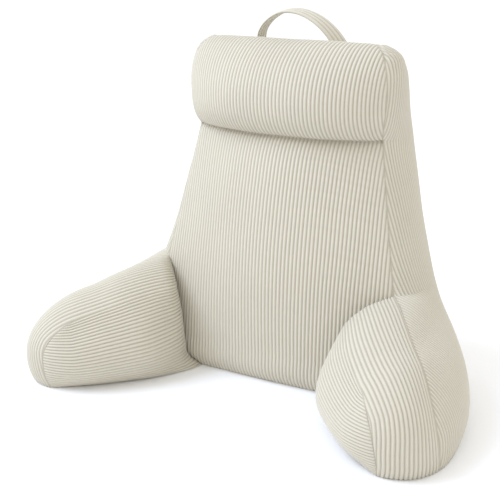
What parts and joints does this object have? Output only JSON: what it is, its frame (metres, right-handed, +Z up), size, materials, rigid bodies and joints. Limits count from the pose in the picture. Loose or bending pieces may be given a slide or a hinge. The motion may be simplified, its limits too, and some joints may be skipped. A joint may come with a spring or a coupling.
{
  "type": "reading pillow with arms",
  "caption": "Tapered, leaning back cushion with a built-in neck roll, splayed padded arms and a carrying strap on top, all in wide-ribbed cloth.",
  "frame": {"origin": "middle of the overall box at the level of the surface that the pillow stands on", "axes": "+Z up; the sitter's front is -Y, where the arms reach; +X is to the right as seen from the front"},
  "size_m": [0.7632, 0.439, 0.6227],
  "materials": {
    "corduroy_back": "matt wide-wale corduroy, ribs upright",
    "corduroy_arm_left": "matt wide-wale corduroy, ribs along the arm",
    "corduroy_arm_right": "matt wide-wale corduroy, ribs along the arm",
    "corduroy_strap": "matt wide-wale corduroy, ribs along the strap"
  },
  "bodies": {
    "root": {"back_cushion": "corduroy_back", "arm_left": "corduroy_arm_left", "arm_right": "corduroy_arm_right", "handle_strap": "corduroy_strap"}
  },
  "joints": []
}
